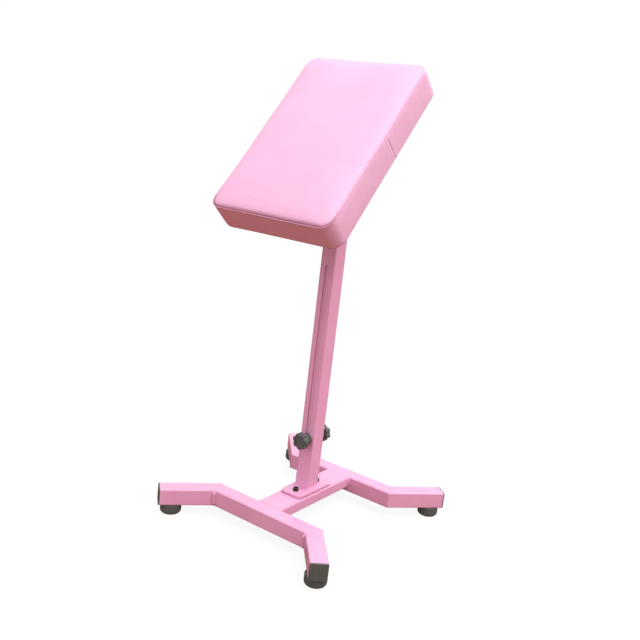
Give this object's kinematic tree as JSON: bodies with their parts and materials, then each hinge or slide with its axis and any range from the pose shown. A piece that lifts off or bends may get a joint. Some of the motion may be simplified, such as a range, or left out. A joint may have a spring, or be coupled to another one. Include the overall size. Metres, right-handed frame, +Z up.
{
  "type": "tattoo armrest stand",
  "caption": "Floor-standing tattoo armrest: H-shaped tube base with rubber feet, slotted telescoping mast with star-knob clamps, and a tilting padded rest.",
  "frame": {"origin": "on the floor, under the mast's axis, at the centre of the base", "axes": "+Z up along the mast; -Y the front, where the cushion's low end is; +X the stand's right as seen from the front"},
  "size_m": [0.3708, 0.4084, 0.7954],
  "materials": {
    "pink_powder_coat": "satin powder coat",
    "pink_leather": "fine-grained satin leatherette",
    "black_plastic": "moulded, lightly textured",
    "black_rubber": "matt",
    "zinc_steel": "zinc plated",
    "black_steel": "black oxide",
    "brass": "turned",
    "nylon": "natural",
    "plywood": "raw plywood",
    "foam": "open-cell foam",
    "black_cloth": "non-woven dust cloth"
  },
  "bodies": {
    "stand": {"base_rail": "pink_powder_coat", "front_cross_bar": "pink_powder_coat", "rear_cross_bar": "pink_powder_coat", "front_left_leg": "pink_powder_coat", "front_right_leg": "pink_powder_coat", "rear_left_leg": "pink_powder_coat", "rear_right_leg": "pink_powder_coat", "front_left_end_cap": "black_plastic", "front_right_end_cap": "black_plastic", "rear_left_end_cap": "black_plastic", "rear_right_end_cap": "black_plastic", "front_left_foot": "black_rubber", "front_right_foot": "black_rubber", "rear_left_foot": "black_rubber", "rear_right_foot": "black_rubber", "foot_screws": "zinc_steel", "foot_washers": "zinc_steel", "foot_weld_nuts": "zinc_steel", "mast_plate": "pink_powder_coat", "mast_plate_screws": "black_steel", "rail_weld_nuts": "zinc_steel", "outer_mast": "pink_powder_coat", "mast_top_guide": "black_plastic"},
    "sliding_mast": {"inner_mast": "pink_powder_coat", "inner_mast_glide": "black_plastic", "inner_mast_top_plug": "black_plastic", "clamp_weld_nuts": "zinc_steel", "tilt_bush": "zinc_steel", "tilt_friction_washers": "nylon"},
    "front_clamp_washer": {"front_clamp_washer": "zinc_steel"},
    "front_clamp_knob": {"front_clamp_knob": "black_plastic", "front_clamp_stud": "zinc_steel"},
    "rear_clamp_washer": {"rear_clamp_washer": "zinc_steel"},
    "rear_clamp_knob": {"rear_clamp_knob": "black_plastic", "rear_clamp_stud": "zinc_steel"},
    "cushion_head": {"pad_bracket_plate": "pink_powder_coat", "left_tilt_ear": "pink_powder_coat", "right_tilt_ear": "pink_powder_coat", "tilt_bolt": "zinc_steel", "pad_screws": "black_steel", "pad_tee_nuts": "zinc_steel", "pad_board": "plywood", "pad_bottom_cloth": "black_cloth", "pad_foam": "foam", "pad_top_panel": "pink_leather", "pad_side_band": "pink_leather"},
    "tilt_clamp_washer": {"tilt_clamp_washer": "zinc_steel"},
    "tilt_clamp_knob": {"tilt_knob": "black_plastic", "tilt_knob_insert": "brass"}
  },
  "joints": [
    {"name": "height_slide", "type": "slide", "parent": "stand", "child": "sliding_mast", "axis": [0, 0, 1], "range_m": [0, 0.307]},
    {"name": "pad_tilt", "type": "hinge", "parent": "sliding_mast", "child": "cushion_head", "pos_m": [0, 0, 0.599], "axis": [1, 0, 0], "range_deg": [-48.4, 41.6]},
    {"name": "front_clamp_washer_slide", "type": "slide", "parent": "sliding_mast", "child": "front_clamp_washer", "axis": [0, -1, 0], "range_m": [0, 0.0025]},
    {"name": "front_clamp_knob_turn", "type": "hinge", "parent": "front_clamp_washer", "child": "front_clamp_knob", "pos_m": [0, -0.0167, 0.147], "axis": [0, -1, 0], "range_deg": [0, 720]},
    {"name": "rear_clamp_washer_slide", "type": "slide", "parent": "sliding_mast", "child": "rear_clamp_washer", "axis": [0, 1, 0], "range_m": [0, 0.0025]},
    {"name": "rear_clamp_knob_turn", "type": "hinge", "parent": "rear_clamp_washer", "child": "rear_clamp_knob", "pos_m": [0, 0.0167, 0.147], "axis": [0, 1, 0], "range_deg": [0, 720]},
    {"name": "tilt_clamp_washer_slide", "type": "slide", "parent": "cushion_head", "child": "tilt_clamp_washer", "axis": [-1, 0, 0], "range_m": [0, 0.003]},
    {"name": "tilt_clamp_knob_turn", "type": "hinge", "parent": "tilt_clamp_washer", "child": "tilt_clamp_knob", "pos_m": [-0.01965, 0, 0.599], "axis": [-1, 0, 0], "range_deg": [0, 720]}
  ],
  "couplings": [
    {"joint": "front_clamp_knob_turn", "follows": "front_clamp_washer_slide", "rad_per_m": 5026.5},
    {"joint": "rear_clamp_knob_turn", "follows": "rear_clamp_washer_slide", "rad_per_m": 5026.5},
    {"joint": "tilt_clamp_knob_turn", "follows": "tilt_clamp_washer_slide", "rad_per_m": 4188.8}
  ]
}
